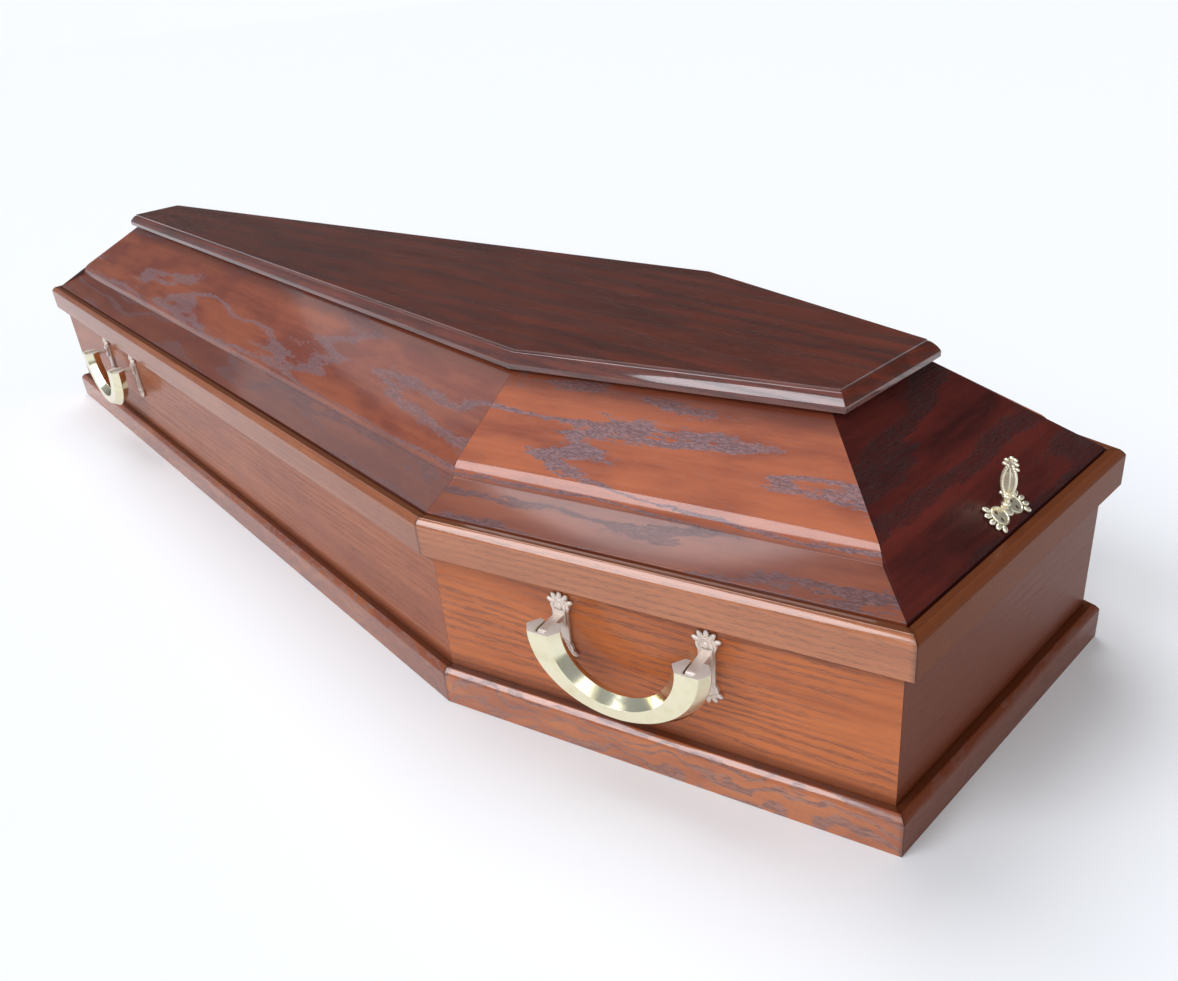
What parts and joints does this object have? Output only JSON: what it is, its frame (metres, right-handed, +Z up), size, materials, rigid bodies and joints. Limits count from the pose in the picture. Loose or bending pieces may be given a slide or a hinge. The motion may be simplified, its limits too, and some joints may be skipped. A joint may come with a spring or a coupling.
{
  "type": "wooden coffin",
  "caption": "Long six-sided wooden coffin with shoulders, a moulded rim and skirting, a raised sloping lid with a flat top board, swinging metal handles and wing screws.",
  "frame": {"origin": "middle of the underside's box, on the surface that the coffin stands on", "axes": "+X along the coffin towards its head end, +Y to its left as seen from the foot, +Z up"},
  "size_m": [2, 0.6854, 0.3738],
  "materials": {
    "wall_wood": "red-brown stain under satin-gloss lacquer, open grain",
    "trim_wood": "red-brown stain under satin-gloss lacquer, open grain",
    "lid_wood": "orange-red stain under satin-gloss lacquer, figured grain",
    "end_panel_wood": "dark red-brown stain under gloss lacquer",
    "top_board_wood": "dark brown stain under gloss lacquer",
    "floor_wood": "bare planed board",
    "pale_gold": "polished pale gold plating",
    "silver_gold": "polished silver-gold plating"
  },
  "bodies": {
    "coffin": {"floor_board": "floor_wood", "wall_right_foot": "wall_wood", "skirting_right_foot": "trim_wood", "rim_band_right_foot": "trim_wood", "lid_panel_right_foot": "lid_wood", "wall_right_head": "wall_wood", "skirting_right_head": "trim_wood", "rim_band_right_head": "trim_wood", "lid_panel_right_head": "lid_wood", "wall_head_end": "wall_wood", "skirting_head_end": "trim_wood", "rim_band_head_end": "trim_wood", "lid_panel_head_end": "end_panel_wood", "wall_left_head": "wall_wood", "skirting_left_head": "trim_wood", "rim_band_left_head": "trim_wood", "lid_panel_left_head": "lid_wood", "wall_left_foot": "wall_wood", "skirting_left_foot": "trim_wood", "rim_band_left_foot": "trim_wood", "lid_panel_left_foot": "lid_wood", "wall_foot_end": "wall_wood", "skirting_foot_end": "trim_wood", "rim_band_foot_end": "trim_wood", "lid_panel_foot_end": "end_panel_wood", "lid_top_board": "top_board_wood", "handle_bracket_right_foot_footward": "pale_gold", "handle_bracket_right_foot_headward": "pale_gold", "handle_bracket_right_head_footward": "pale_gold", "handle_bracket_right_head_headward": "pale_gold", "handle_bracket_left_head_footward": "pale_gold", "handle_bracket_left_head_headward": "pale_gold", "handle_bracket_left_foot_footward": "pale_gold", "handle_bracket_left_foot_headward": "pale_gold", "screw_plate_head_end": "silver_gold", "wing_screw_head_end": "silver_gold", "screw_plate_foot_end": "silver_gold", "wing_screw_foot_end": "silver_gold"},
    "bow_right_foot": {"handle_bow_right_foot": "pale_gold"},
    "bow_right_head": {"handle_bow_right_head": "pale_gold"},
    "bow_left_head": {"handle_bow_left_head": "pale_gold"},
    "bow_left_foot": {"handle_bow_left_foot": "pale_gold"}
  },
  "joints": [
    {"name": "handle_swing_right_foot", "type": "hinge", "parent": "coffin", "child": "bow_right_foot", "pos_m": [-0.63986, -0.25535, 0.1551], "axis": [-0.9955, 0.0943, 0], "range_deg": [0, 90]},
    {"name": "handle_swing_right_head", "type": "hinge", "parent": "coffin", "child": "bow_right_head", "pos_m": [0.7391, -0.30133, 0.1551], "axis": [-0.9694, -0.2453, 0], "range_deg": [0, 90]},
    {"name": "handle_swing_left_head", "type": "hinge", "parent": "coffin", "child": "bow_left_head", "pos_m": [0.7391, 0.30133, 0.1551], "axis": [0.9694, -0.2453, 0], "range_deg": [0, 90]},
    {"name": "handle_swing_left_foot", "type": "hinge", "parent": "coffin", "child": "bow_left_foot", "pos_m": [-0.63986, 0.25535, 0.1551], "axis": [0.9955, 0.0943, 0], "range_deg": [0, 90]}
  ]
}
